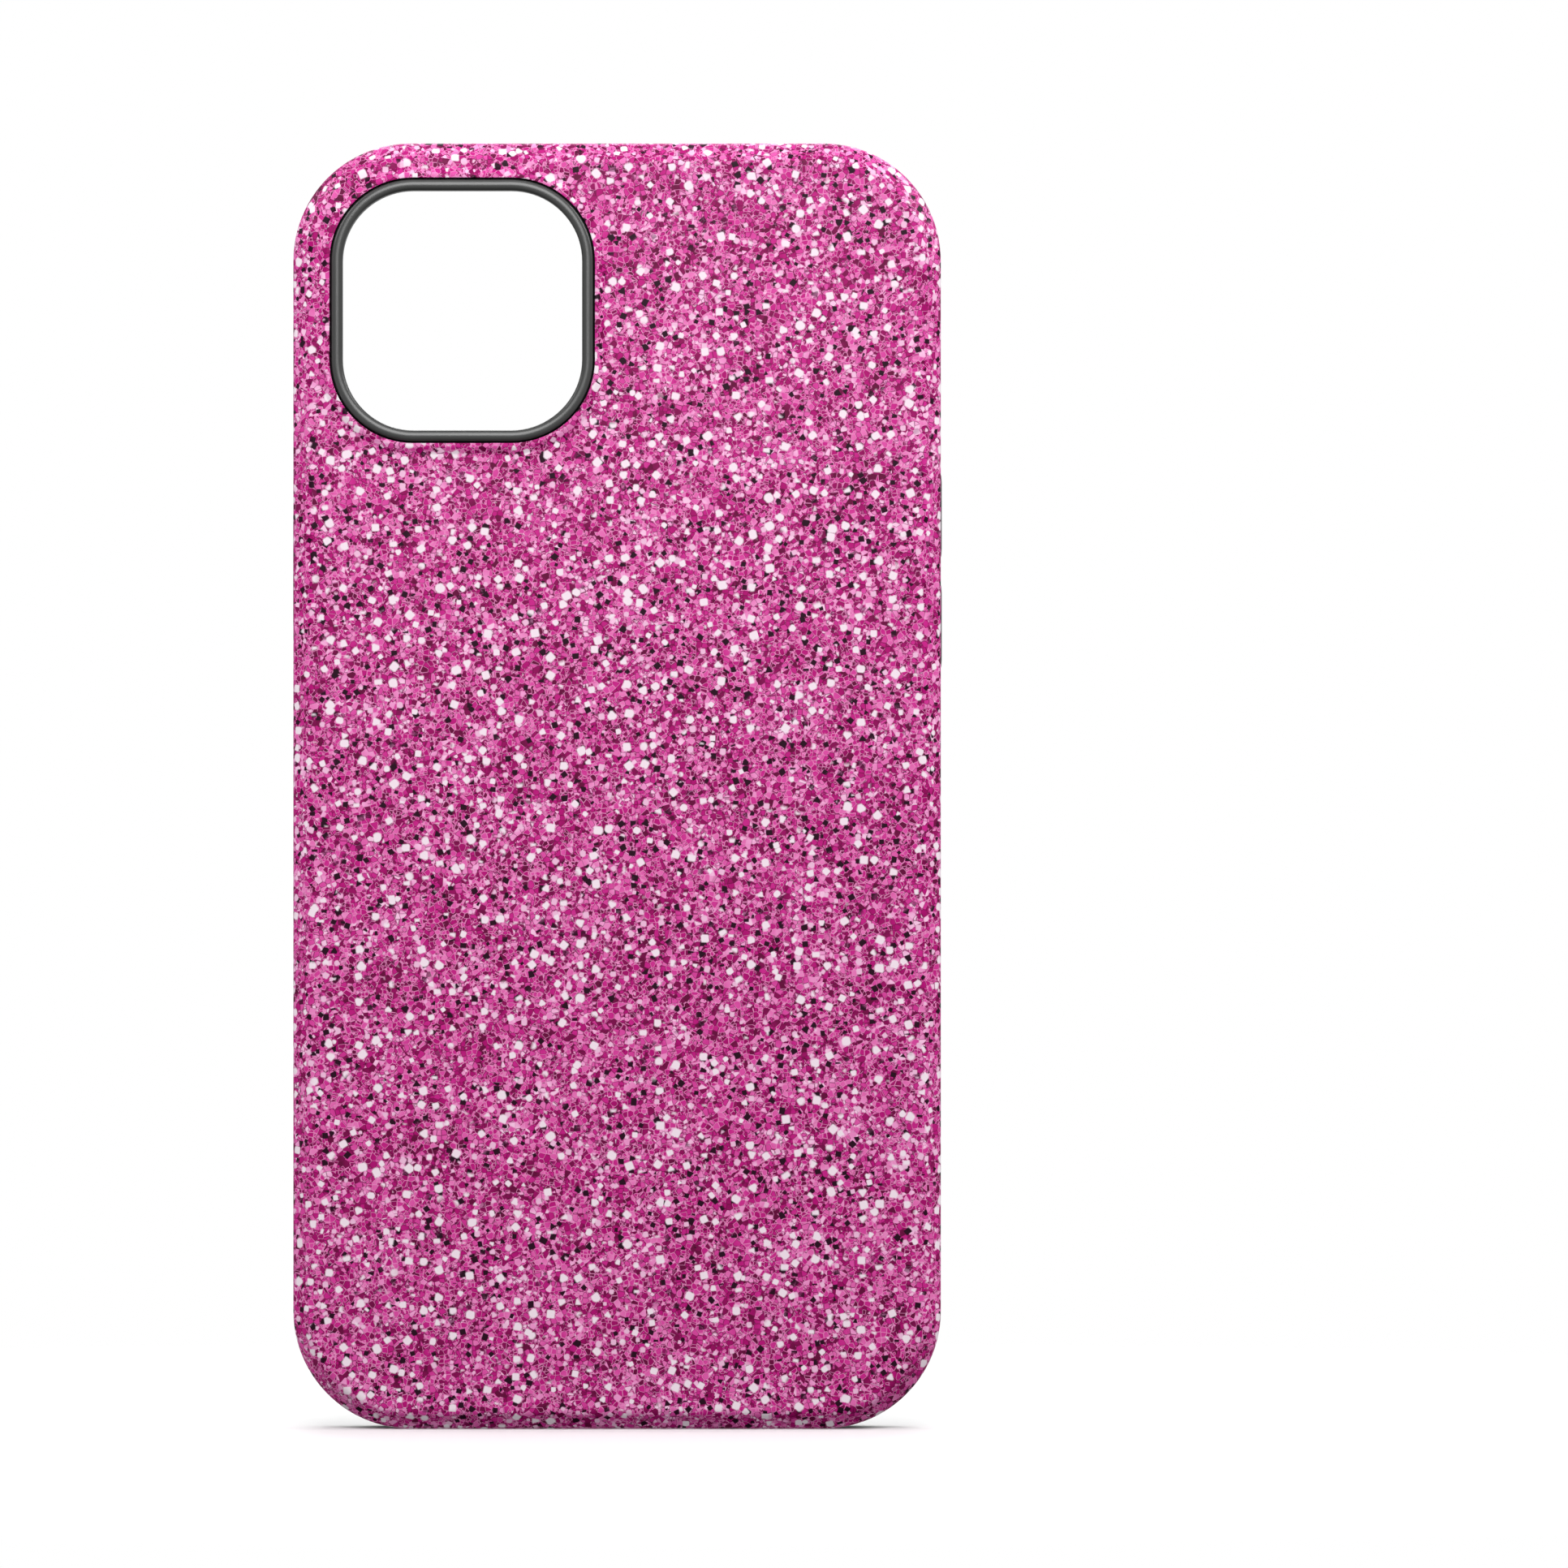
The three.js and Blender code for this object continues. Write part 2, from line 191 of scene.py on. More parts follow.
def quarter_edge(s_steps=14, side_steps=12, corner_steps=9, end_steps=5):
    """The shell's front edge over a quarter of the outline, as (t, depth), from the side to the end."""
    points = [(STRAIGHT_SIDE * k / side_steps, SIDE_EDGE) for k in range(side_steps)]
    samples = [bezier(curve, k / s_steps) for curve in S_CURVES for k in range(s_steps + 1)]
    rising = []
    for depth, from_end in reversed(samples):
        angle = math.asin(1 - from_end / CORNER_R)
        rising.append((STRAIGHT_SIDE + CORNER_R * angle, depth))
    first, last = rising[0][0], rising[-1][0]
    lead_in = (first - STRAIGHT_SIDE) / corner_steps
    points += [(STRAIGHT_SIDE + lead_in * k, SIDE_EDGE) for k in range(corner_steps)]
    points += rising
    lead_out = (STRAIGHT_SIDE + CORNER_ARC - last) / corner_steps
    points += [(last + lead_out * k, END_EDGE) for k in range(1, corner_steps + 1)]
    points += [(QUARTER - STRAIGHT_END * (1 - k / end_steps), END_EDGE) for k in range(1, end_steps + 1)]
    return points


def edge_columns():
    """The edge all round, as (t, depth, unit normal in (t, depth) that points into the shell)."""
    quarter = quarter_edge()
    edge = list(quarter)
    edge += [(2 * QUARTER - t, depth) for t, depth in quarter[-2::-1]]
    edge += [(2 * QUARTER + t, depth) for t, depth in quarter[1:]]
    edge += [(4 * QUARTER - t, depth) for t, depth in quarter[-2:0:-1]]
    columns = []
    for i, (t, depth) in enumerate(edge):
        (t0, d0), (t1, d1) = edge[i - 1], edge[(i + 1) % len(edge)]
        along_t = (t1 - t0 + 2 * QUARTER) % (4 * QUARTER) - 2 * QUARTER
        normal = Vector((d1 - d0, -along_t)).normalized()
        columns.append((t, depth, normal))
    return columns


COLUMNS = edge_columns()

# ---------------------------------------------------------------- meshes


def new_object(name, bm):
    bmesh.ops.recalc_face_normals(bm, faces=bm.faces)
    mesh = bpy.data.meshes.new(name)
    bm.to_mesh(mesh)
    bm.free()
    piece = bpy.data.objects.new(name, mesh)
    bpy.context.scene.collection.objects.link(piece)
    return piece


def add_skin(bm, rows, ring=False):
    """Quads through rows of points in mm, capped at both ends, or closed on themselves as a ring."""
    verts = [[bm.verts.new(point * MM) for point in row] for row in rows]
    pairs = list(zip(verts, verts[1:]))
    if ring:
        pairs.append((verts[-1], verts[0]))
    else:
        bm.faces.new(verts[0])
        bm.faces.new(verts[-1])
    for lower, upper in pairs:
        for i in range(len(lower)):
            bm.faces.new((lower[i - 1], lower[i], upper[i], upper[i - 1]))


def solid(name, *skins, ring=False):
    bm = bmesh.new()
    for rows in skins:
        add_skin(bm, rows, ring)
    return new_object(name, bm)


def boolean(piece, tool, operation):
    modifier = piece.modifiers.new(operation, "BOOLEAN")
    modifier.operation = operation
    modifier.solver = "MANIFOLD"
    modifier.object = tool
    depsgraph = bpy.context.evaluated_depsgraph_get()
    made = bpy.data.meshes.new_from_object(piece.evaluated_get(depsgraph))
    piece.modifiers.clear()
    piece.data = made
    bpy.data.objects.remove(tool)


def feet(half_u, half_v, radius, steps):
    """Foot and normal of each point of a round-cornered rectangle, in its own plane."""
    columns = []
    for quarter, (sign_u, sign_v) in enumerate(((1, 1), (-1, 1), (-1, -1), (1, -1))):
        foot = Vector((sign_u * (half_u - radius), sign_v * (half_v - radius)))
        for step in range(steps + 1):
            angle = math.pi / 2 * (quarter + step / steps)
            columns.append((foot, Vector((math.cos(angle), math.sin(angle)))))
    return [column for column, after in zip(columns, columns[1:] + columns[:1]) if differ(column, after)]


def differ(column, other):
    """Whether two columns differ; two quarters of a pill's end meet in one and the same column."""
    return (column[0] - other[0]).length + (column[1] - other[1]).length > 1e-6


def camera_rows(profile, steps=20):
    """Rows of the camera opening's outline for points (depth, half size)."""
    columns = feet(CAMERA_CORNER, CAMERA_CORNER, 0, steps)
    rows = []
    for depth, half in profile:
        reach = half - CAMERA_CORNER
        flat = [foot + normal * reach for foot, normal in columns]
        rows.append([Vector((CAMERA_X + u, BACK_Y + depth, CAMERA_Z + v)) for u, v in flat])
    return rows


def plug_rows(half_u, half_v, radius, profile, place, steps=8):
    """Rows of a plug for points (height, offset of its outline), set in the frame by place."""
    columns = feet(half_u, half_v, radius, steps)
    rows = []
    for height, offset in profile:
        flat = [foot + normal * (radius + offset) for foot, normal in columns]
        rows.append([place @ Vector((u, v, height)) for u, v in flat])
    return rows


def pill_rows(half_width, half_length, profile, place):
    """Rows of a plug with round ends."""
    return plug_rows(half_width, half_length, half_width, profile, place, PILL_STEPS)


def side_axes(side):
    """Axes at a long side: local X is depth, local Y is along Z, and local Z points out of the side."""
    return Matrix(((0, 0, side), (1, 0, 0), (0, side, 0))).to_4x4()


def wall_place(side, depth, z):
    """Frame on a long side wall, leaning with it."""
    x = side * (HALF_WIDTH - draft_inset(depth))
    turn = Matrix.Rotation(side * LEAN, 4, "Z")
    return Matrix.Translation((x, BACK_Y + depth, z)) @ turn @ side_axes(side)


def bottom_place(x, depth):
    """Frame on the bottom wall: local X is X, Y is depth, Z points down out of the wall."""
    axes = Matrix(((1, 0, 0), (0, -1, 0), (0, 0, -1))).to_4x4()
    turn = Matrix.Rotation(LEAN, 4, "X")
    return Matrix.Translation((x, BACK_Y + depth, draft_inset(depth))) @ turn @ axes


def flare(radius, reach, depth):
    """Profile of a cutter that rounds the rim of its hole: straight below, flared where it leaves."""
    arc = [(-radius + radius * math.sin(a), radius - radius * math.cos(a))
           for a in (math.pi / 2 * k / FILLET_STEPS for k in range(FILLET_STEPS + 1))]
    return [(-depth, 0), *arc, (reach, radius)]


def finish_surface(piece):
    """Merges what the booleans split, shades smooth, and keeps flat faces flat."""
    bm = bmesh.new()
    bm.from_mesh(piece.data)
    bmesh.ops.remove_doubles(bm, verts=bm.verts, dist=MERGE)
    bmesh.ops.dissolve_degenerate(bm, edges=bm.edges, dist=MERGE)
    bm.to_mesh(piece.data)
    bm.free()
    piece.data.materials.clear()
    piece.data.shade_smooth()
    piece.data.set_sharp_from_angle(angle=math.radians(SHARP_DEGREES))
    weighted = piece.modifiers.new("flat faces stay flat", "WEIGHTED_NORMAL")
    weighted.keep_sharp = True
    weighted.weight = 80


def paint_two(piece, main, other, is_other):
    """Gives a piece two materials, the other one where is_other says so of a face's middle."""
    piece.data.materials.append(main)
    piece.data.materials.append(other)
    for polygon in piece.data.polygons:
        polygon.material_index = int(is_other(polygon.center / MM))


# ---------------------------------------------------------------- outer shell


def fixed_rows(profile):
    return [[wall_point(t, depth, inset) for t, _, _ in COLUMNS] for depth, inset in profile]


def edge_row(along, inward):
    """Row beside the shell's edge: along is the distance past it, inward the depth below the surface."""
    row = []
    for t, edge_depth, normal in COLUMNS:
        depth = edge_depth - normal.y * along
        row.append(wall_point(t - normal.x * along, depth, draft_inset(depth) + inward))
    return row


def rows_between(start_depth, along, inward, count):
    """Rows on a wall, from one depth all round to a line beside the shell's edge."""
    rows = []
    for k in range(count):
        share = k / count
        row = []
        for t, edge_depth, normal in COLUMNS:
            depth = start_depth + (edge_depth - normal.y * along - start_depth) * share
            row.append(wall_point(t - normal.x * along * share, depth, draft_inset(depth) + inward))
        rows.append(row)
    return rows


def shell_body():
    bevel_sum = BACK_BEVEL + math.sqrt(2) * SHELL_SIDE
    back = rounded((
        (0, WALL_START, 0),
        (0, BACK_BEVEL, BEVEL_ROUND),
        (BACK_BEVEL, 0, BEVEL_ROUND),
        (WALL_START, 0, 0),
    ))
    before_edge = -SHELL_EDGE_ROUND - 0.05
    before_inner_edge = -0.5
    edge = rounded((
        (before_edge, 0, 0),
        (0, 0, SHELL_EDGE_ROUND),
        (0, SHELL_SIDE, SHELL_INNER_ROUND),
        (before_inner_edge, SHELL_SIDE, 0),
    ))
    inside = ((bevel_sum - SHELL_SIDE, SHELL_SIDE), (SHELL_BACK, bevel_sum - SHELL_BACK))
    rows = fixed_rows(back)
    rows += rows_between(WALL_START, before_edge, 0, 8)[1:]
    rows += [edge_row(along, inward) for along, inward in edge]
    rows += rows_between(UNDER_WALL_START, before_inner_edge, SHELL_SIDE, 4)[::-1]
    rows += fixed_rows(inside)
    return solid("outer_shell_printed", rows)


def collar_body():
    """Raised collar round the camera hole, as a ring that goes through the shell's back."""
    profile = rounded((
        (SHELL_BACK - LAYER_GAP, COLLAR_OUTER_HALF, 0),
        (0.3, COLLAR_OUTER_HALF, 0),
        (0.05, COLLAR_BASE_HALF + 0.4, 0),
        (0, COLLAR_BASE_HALF, 0.18),
        (-COLLAR_PROUD, COLLAR_TOP_HALF, 0.16),
        (-COLLAR_PROUD, HOLE_HALF, 0.14),
        (SHELL_BACK - LAYER_GAP, HOLE_HALF, 0),
    ))
    return solid("collar", camera_rows(profile), ring=True)


def circle_rows(section, base_depth, steps=96):
    """Circles about the magnet ring's middle for points (radius, depth beyond base_depth)."""
    angles = [2 * math.pi * k / steps for k in range(steps)]
    return [[Vector((radius * math.cos(a), BACK_Y + base_depth + depth, ARRAY_Z + radius * math.sin(a)))
             for a in angles] for radius, depth in section]


def array_pocket():
    """Recess for the magnet ring, open to the shell's inside."""
    top = SHELL_BACK + 1 - ARRAY_POCKET
    section = ((ARRAY_INNER_R, 0), (ARRAY_OUTER_R, 0), (ARRAY_OUTER_R, top), (ARRAY_INNER_R, top))
    return solid("array_pocket", circle_rows(section, ARRAY_POCKET), ring=True)


def bar_pocket():
    """Recess for the alignment bar, open to the shell's inside."""
    x, low, high = BAR_WIDTH / 2, BAR_Z - BAR_LENGTH / 2, BAR_Z + BAR_LENGTH / 2
    corners = ((x, high), (-x, high), (-x, low), (x, low))
    depths = (BACK_Y + ARRAY_POCKET, BACK_Y + SHELL_BACK + 1)
    return solid("bar_pocket", [[Vector((x, y, z)) for x, z in corners] for y in depths])


def beyond(x, z, half_x, half_z):
    """Distance from a point to a rectangle about the origin, 0 inside it."""
    return math.hypot(max(abs(x) - half_x, 0), max(abs(z) - half_z, 0))


def depth_below(point):
    """How far a point is below the nearest outside surface: back, bevel or wall."""
    depth = point.y - BACK_Y
    inset = CORNER_R - beyond(point.x, point.z - HALF_HEIGHT, STRAIGHT_END, STRAIGHT_SIDE)
    return min(depth, inset - draft_inset(depth), (depth + inset - BACK_BEVEL) / math.sqrt(2))


def is_unprinted(point):
    """The print stops at the rims: the inside and the walls of the openings are bare plastic."""
    from_camera = beyond(point.x - CAMERA_X, point.z - CAMERA_Z, CAMERA_CORNER, CAMERA_CORNER)
    return depth_below(point) > PRINT_DEPTH or from_camera < HOLE_HALF + 0.03 - CAMERA_CORNER


def outer_shell():
    shell = shell_body()
    hole = camera_rows(((-3, SHELL_CUT_HALF), (3, SHELL_CUT_HALF)))
    boolean(shell, solid("hole", hole), "DIFFERENCE")
    boolean(shell, collar_body(), "UNION")
    boolean(shell, array_pocket(), "DIFFERENCE")
    boolean(shell, bar_pocket(), "DIFFERENCE")
    profile = flare(WINDOW_RIM_ROUND, 1, 3)
    place = wall_place(1, SWITCH_DEPTH, SWITCH_Z)
    cutters = [plug_rows(SWITCH_WIDTH / 2, SWITCH_LENGTH / 2, SWITCH_R, profile, place)]
    for side, z, length in WINDOWS:
        place = wall_place(side, BUTTON_DEPTH, z)
        cutters.append(pill_rows(WINDOW_HALF_WIDTH, length / 2, profile, place))
    boolean(shell, solid("windows", *cutters), "DIFFERENCE")
    finish_surface(shell)
    paint_two(shell, printed_glitter(), raw_plastic(), is_unprinted)
    return shell


# ---------------------------------------------------------------- inner liner


def liner_body():
    side = SHELL_SIDE + LAYER_GAP
    bevel_sum = BACK_BEVEL + math.sqrt(2) * side
    back = SHELL_BACK + LAYER_GAP
    under = ((back, bevel_sum - back), (bevel_sum - side, side))
    before_seam = SEAM_GAP - 0.3
    seam = rounded((
        (before_seam, side, 0),
        (SEAM_GAP, side, 0.1),
        (SEAM_GAP, 0, LINER_EDGE_ROUND),
        (SEAM_GAP + LINER_EDGE_ROUND + 0.02, 0, 0),
    ))
    rim_start = SIDE_EDGE + SEAM_GAP + LINER_EDGE_ROUND + 0.05
    rim = rounded((
        (rim_start, draft_inset(rim_start), 0),
        (10.05, draft_inset(10.05), 0.14),
        (DEPTH, 1.7, 0.35),
        (DEPTH, LIP_INSET, 0.3),
        (LIP_UNDERSIDE, LIP_INSET, 0.2),
        (LIP_UNDERSIDE, POCKET_INSET, 0.25),
        (POCKET_FLOOR, POCKET_INSET, 1.3),
        (POCKET_FLOOR, POCKET_INSET + 1.6, 0),
    ))
    rows = fixed_rows(under)
    rows += rows_between(UNDER_WALL_START, before_seam, side, 4)
    rows += [edge_row(along, inward) for along, inward in seam]
    rows += flush_rows(seam[-1].x, rim_start, 6)
    rows += fixed_rows(rim)
    return solid("inner_liner_moulded", rows)


def flush_rows(along, end_depth, count):
    """Rows on the liner's outside, from beside the shell's edge to a fixed depth."""
    rows = []
    for k in range(1, count):
        share = k / count
        row = []
        for t, edge_depth, normal in COLUMNS:
            start = edge_depth - normal.y * along
            depth = start + (end_depth - start) * share
            row.append(wall_point(t - normal.x * along * (1 - share), depth, draft_inset(depth)))
        rows.append(row)
    return rows


def ring_body():
    """The liner's ring round the camera opening: domed on top, and rounded at the pocket's floor."""
    middle = (RING_HALF + RING_INNER_HALF) / 2
    half = (RING_HALF - RING_INNER_HALF) / 2
    shoulder, crown_steps = RING_CROWN - RING_PROUD, 12
    crown = []
    for k in range(crown_steps + 1):
        angle = math.pi * k / crown_steps
        crown.append((shoulder - RING_CROWN * math.sin(angle), middle + half * math.cos(angle)))
    floor = POCKET_FLOOR + 0.04
    inner = rounded((
        (0, RING_INNER_HALF, 0),
        (floor, RING_INNER_HALF, 0.35),
        (floor, RING_HALF - 0.2, 0),
    ))
    bottom = ((POCKET_FLOOR - 0.2, RING_HALF - 0.1), (SHELL_BACK + 0.2, RING_HALF))
    return solid("ring", camera_rows([*crown, *inner, *bottom]), ring=True)


def liner_openings():
    """Everything that goes through the liner's walls, with rounded rims on the outside."""
    under_shell = Matrix.Translation((0, 0, -SHELL_SIDE - LAYER_GAP))
    cutters = [plug_rows(
        SWITCH_WIDTH / 2 - SWITCH_LINER_INSET, SWITCH_LENGTH / 2 - SWITCH_LINER_INSET, SWITCH_R,
        flare(LINER_RIM_ROUND, 1, 3), wall_place(1, SWITCH_DEPTH, SWITCH_Z) @ under_shell,
    )]
    for x, width, height in BOTTOM_SLOTS:
        profile, place = flare(SLOT_RIM_ROUND, 1, 4), bottom_place(x, PORT_DEPTH)
        cutters.append(plug_rows(width / 2, height / 2, height / 2, profile, place, PILL_STEPS))
    return solid("openings", *cutters)


def button_holes():
    """Stem holes through the liner's web."""
    cutters = []
    half_width, profile = CAP_HALF_WIDTH + STEM_CLEARANCE, ((-4, 0), (1, 0))
    for _, side, z, half_length in BUTTONS:
        place = wall_place(side, BUTTON_DEPTH, z)
        cutters.append(pill_rows(half_width, half_length + STEM_CLEARANCE, profile, place))
    return solid("stem_holes", *cutters)


def flange_recesses():
    """Recesses in the pocket's walls for the flanges of the caps."""
    border, cut_start = FLANGE_BORDER + RECESS_CLEARANCE, 34.0
    half_width, profile = CAP_HALF_WIDTH + border, ((cut_start, 0), (WEB_INNER_X, 0))
    cutters = []
    for _, side, z, half_length in BUTTONS:
        cutters.append(pill_rows(half_width, half_length + border, profile, button_place(side, z)))
    return solid("recesses", *cutters)


def bar_relief():
    """Shallow recess in the pocket's floor over the alignment bar."""
    axes = Matrix(((1, 0, 0), (0, 0, 1), (0, 1, 0))).to_4x4()
    place = Matrix.Translation((0, BACK_Y + POCKET_FLOOR, BAR_Z)) @ axes
    profile = ((-RELIEF_DEPTH, 0), (0, RELIEF_SLOPE), (1, RELIEF_SLOPE))
    half_width, half_length = BAR_WIDTH / 2 + RELIEF_BORDER, BAR_LENGTH / 2 + RELIEF_BORDER
    return solid("bar_relief", plug_rows(half_width, half_length, BAR_RELIEF_CORNER, profile, place))


def array_relief():
    """Shallow recess in the pocket's floor over the magnet ring."""
    inner, outer = ARRAY_INNER_R - RELIEF_BORDER, ARRAY_OUTER_R + RELIEF_BORDER
    section = ((inner - RELIEF_SLOPE, 1), (inner - RELIEF_SLOPE, 0), (inner, -RELIEF_DEPTH),
               (outer, -RELIEF_DEPTH), (outer + RELIEF_SLOPE, 0), (outer + RELIEF_SLOPE, 1))
    return solid("array_relief", circle_rows(section, POCKET_FLOOR), ring=True)


def is_under_shell(point):
    """The liner's outside where the shell covers it, which also shows in the button windows, where its
    darker tone is painted shade in the recess.
    """
    from_shell = depth_below(point) - SHELL_SIDE - LAYER_GAP
    return abs(from_shell) < 0.2 and point.y - BACK_Y < SIDE_EDGE


def inner_liner():
    liner = liner_body()
    opening = camera_rows(((-3, LINER_CUT_HALF), (4, LINER_CUT_HALF)))
    boolean(liner, solid("opening", opening), "DIFFERENCE")
    boolean(liner, ring_body(), "UNION")
    for tool in (liner_openings(), button_holes(), flange_recesses(), bar_relief(), array_relief()):
        boolean(liner, tool, "DIFFERENCE")
    finish_surface(liner)
    moulded = soft_rubber("moulded liner", (46, 47, 46), 0.33, 0.9)
    # Same rubber as the moulded liner, rougher and matt, but its darker tone is painted shade for the
    # recessed floors of the button windows.
    matt_with_painted_shade = soft_rubber("matt liner with painted shade", (36, 36, 37), 0.7, 0.3)
    paint_two(liner, moulded, matt_with_painted_shade, is_under_shell)
    return liner


# ---------------------------------------------------------------- buttons


def button_table():
    """(node, side, z, half length of the cap) of each button, from its CAD box."""
    rows = []
    for name, side in (("volume_up_button", 1), ("volume_down_button", 1), ("side_button", -1)):
        low, high = (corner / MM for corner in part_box(name))
        rows.append((name, side, (low.z + high.z) / 2, (high.z - low.z) / 2 - FLANGE_BORDER))
    return rows


BUTTONS = button_table()


def button_place(side, z):
    """Frame whose local Z runs out of the side from the case's middle plane, so heights are X values."""
    return Matrix.Translation((0, BACK_Y + BUTTON_DEPTH, z)) @ side_axes(side)


def button_cap(name, side, z, half_length):
    """Pill-shaped cap with a soft edge and a slight crown, a stem, and the flange that keeps it in."""
    low, high = (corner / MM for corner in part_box(name))
    inner, outer = (low.x, high.x) if side > 0 else (-high.x, -low.x)
    flange = inner + FLANGE_THICKNESS
    profile = rounded((
        (inner, FLANGE_BORDER - 0.1, 0),
        (inner + 0.1, FLANGE_BORDER, 0),
        (flange, FLANGE_BORDER, 0.08),
        (flange, 0, 0.05),
        (outer - 0.1, 0, CAP_EDGE_ROUND),
        (outer - 0.05, -CAP_EDGE_ROUND * 1.3, 0),
        (outer, 0.02 - CAP_HALF_WIDTH, 0),
    ))
    rows = pill_rows(CAP_HALF_WIDTH, half_length, profile, button_place(side, z))
    cap = solid(name + "_cap", rows)
    finish_surface(cap)
    return cap


# ---------------------------------------------------------------- materials


def linear(red, green, blue):
    """Linear colour of an sRGB colour given as 0 to 255."""
    shares = (channel / 255 for channel in (red, green, blue))
    return (*(c / 12.92 if c <= 0.04045 else ((c + 0.055) / 1.055) ** 2.4 for c in shares), 1)


def put(tree, socket, value):
    if isinstance(value, bpy.types.NodeSocket):
        tree.links.new(value, socket)
    else:
        socket.default_value = value


def add(tree, kind, inputs=(), **settings):
    """Adds a shader node, sets it up, and gives each named or numbered input its value or link."""
    made = tree.nodes.new("ShaderNode" + kind)
    for key, value in settings.items():
        setattr(made, key, value)
    for key, value in dict(inputs).items():
        put(tree, made.inputs[key], value)
    return made


def calculate(tree, operation, *values, clamp=False):
    made = add(tree, "Math", enumerate(values), operation=operation)
    made.use_clamp = clamp
    return made.outputs[0]


def fade(tree, value, start, end):
    """1 where the value is under start, 0 over end, smooth between."""
    ends = {"Value": value, "From Min": start, "From Max": end, "To Min": 1, "To Max": 0}
    return add(tree, "MapRange", ends, interpolation_type="SMOOTHSTEP").outputs[0]


def blend(tree, share, first, second):
    """Mix of two colours."""
    return add(tree, "Mix", {0: share, 6: first, 7: second}, data_type="RGBA").outputs[2]


def scaled(tree, position, spacing, shift):
    """Position in units of a spacing in mm, shifted so that each layer of flakes is another one."""
    inputs = {0: position, 1: (1 / spacing,) * 3, 2: shift}
    return add(tree, "VectorMath", inputs, operation="MULTIPLY_ADD").outputs[0]


def millimetres(tree):
    position = add(tree, "TexCoord").outputs["Object"]
    return add(tree, "VectorMath", {0: position, 1: (1000, 1000, 1000)}, operation="MULTIPLY").outputs[0]


def new_material(name, **inputs):
    made = bpy.data.materials.new(name)
    made.use_nodes = True
    shader = made.node_tree.nodes["Principled BSDF"]
    for key, value in inputs.items():
        shader.inputs[key.replace("_", " ")].default_value = value
    return made, made.node_tree, shader


def grain_bump(tree, shader, per_mm, height, detail=2):
    """Fine moulded texture of a height in mm."""
    noise = add(tree, "TexNoise", {"Vector": millimetres(tree), "Scale": per_mm, "Detail": detail})
    bump = add(tree, "Bump", {"Height": noise.outputs["Fac"], "Distance": height * MM, "Strength": 1})
    put(tree, shader.inputs["Normal"], bump.outputs[0])


def grains(tree, position, spacing, size, soft, seed, roundness):
    """Mask of scattered flakes: a randomly turned cube in each Voronoi cell, cut by the surface."""
    moved = scaled(tree, position, spacing, (seed, seed * 1.7, seed * 0.6))
    cell = add(tree, "TexVoronoi", {"Vector": moved, "Scale": 1, "Randomness": 0.9})
    ends = {0: moved, 1: cell.outputs["Position"]}
    offset = add(tree, "VectorMath", ends, operation="SUBTRACT").outputs[0]
    turns = add(tree, "VectorMath", {0: cell.outputs["Color"], 1: (math.tau,) * 3}, operation="MULTIPLY")
    turned = add(tree, "VectorRotate", {"Vector": offset, "Rotation": turns.outputs[0]},
                 rotation_type="EULER_XYZ").outputs[0]
    size_of_cube = add(tree, "VectorMath", {0: turned}, operation="ABSOLUTE").outputs[0]
    axes = add(tree, "SeparateXYZ", {0: size_of_cube}).outputs
    reach = calculate(tree, "MAXIMUM", calculate(tree, "MAXIMUM", axes[0], axes[1]), axes[2])
    round_reach = add(tree, "VectorMath", {0: offset}, operation="LENGTH").outputs["Value"]
    reach = calculate(tree, "MAXIMUM", reach, calculate(tree, "MULTIPLY", round_reach, roundness))
    chance = add(tree, "SeparateColor", {0: cell.outputs["Color"]}).outputs[0]
    reach = calculate(tree, "DIVIDE", reach, calculate(tree, "MULTIPLY_ADD", chance, 0.6, 0.7))
    half = size / 2 / spacing
    return fade(tree, reach, half * (1 - soft), half * (1 + soft))


FLAKE_TONES = (
    (0.00, (98, 0, 56)), (0.12, (140, 0, 86)), (0.30, (177, 6, 114)), (0.50, (199, 36, 136)),
    (0.68, (217, 76, 161)), (0.83, (229, 116, 182)), (0.93, (238, 154, 206)), (1.00, (246, 196, 226)),
)
SPARKLE, PALE_FLAKE, SPECK = (243, 225, 236), (236, 186, 216), (36, 0, 24)
DARK_OUTLINE, LIGHT_OUTLINE = (104, 0, 62), (232, 142, 194)
# spacing and size in mm, softness, seed, roundness, and colour
GRAINS = ((1.8, 0.54, 0.2, 5.9, 0.8, PALE_FLAKE), (1.85, 0.74, 0.2, 23.1, 0.78, SPARKLE))
SPECK_GRAINS = (1.35, 0.56, 0.12, 11.3, 0.6)
# spacing in mm, and seed
FINE_FLAKES, BROAD_FLAKES = (0.43, 3.1), (0.62, 7.7)
# fades of the flakes' outline, in mm from the edge, and of the streaks that hold the dark specks
OUTLINE_FADE, STREAK_FADE = (0.02, 0.07), (0.52, 0.64)


def flake_layer(tree, position, spacing, seed):
    """Three random values of each angular flake, and the distance to its edge in mm."""
    moved = scaled(tree, position, spacing, (seed,) * 3)
    cell = add(tree, "TexVoronoi", {"Vector": moved, "Scale": 1})
    edge = add(tree, "TexVoronoi", {"Vector": moved, "Scale": 1}, feature="DISTANCE_TO_EDGE")
    randoms = add(tree, "SeparateColor", {0: cell.outputs["Color"]}).outputs
    return *randoms[:3], calculate(tree, "MULTIPLY", edge.outputs["Distance"], spacing)


def ramp_colour(tree, value, stops):
    ramp = add(tree, "ValToRGB", {0: value})
    elements = ramp.color_ramp.elements
    for place, _ in stops[1:-1]:
        elements.new(place)
    for element, (place, colour) in zip(elements, stops):
        element.position, element.color = place, linear(*colour)
    return ramp.outputs[0]


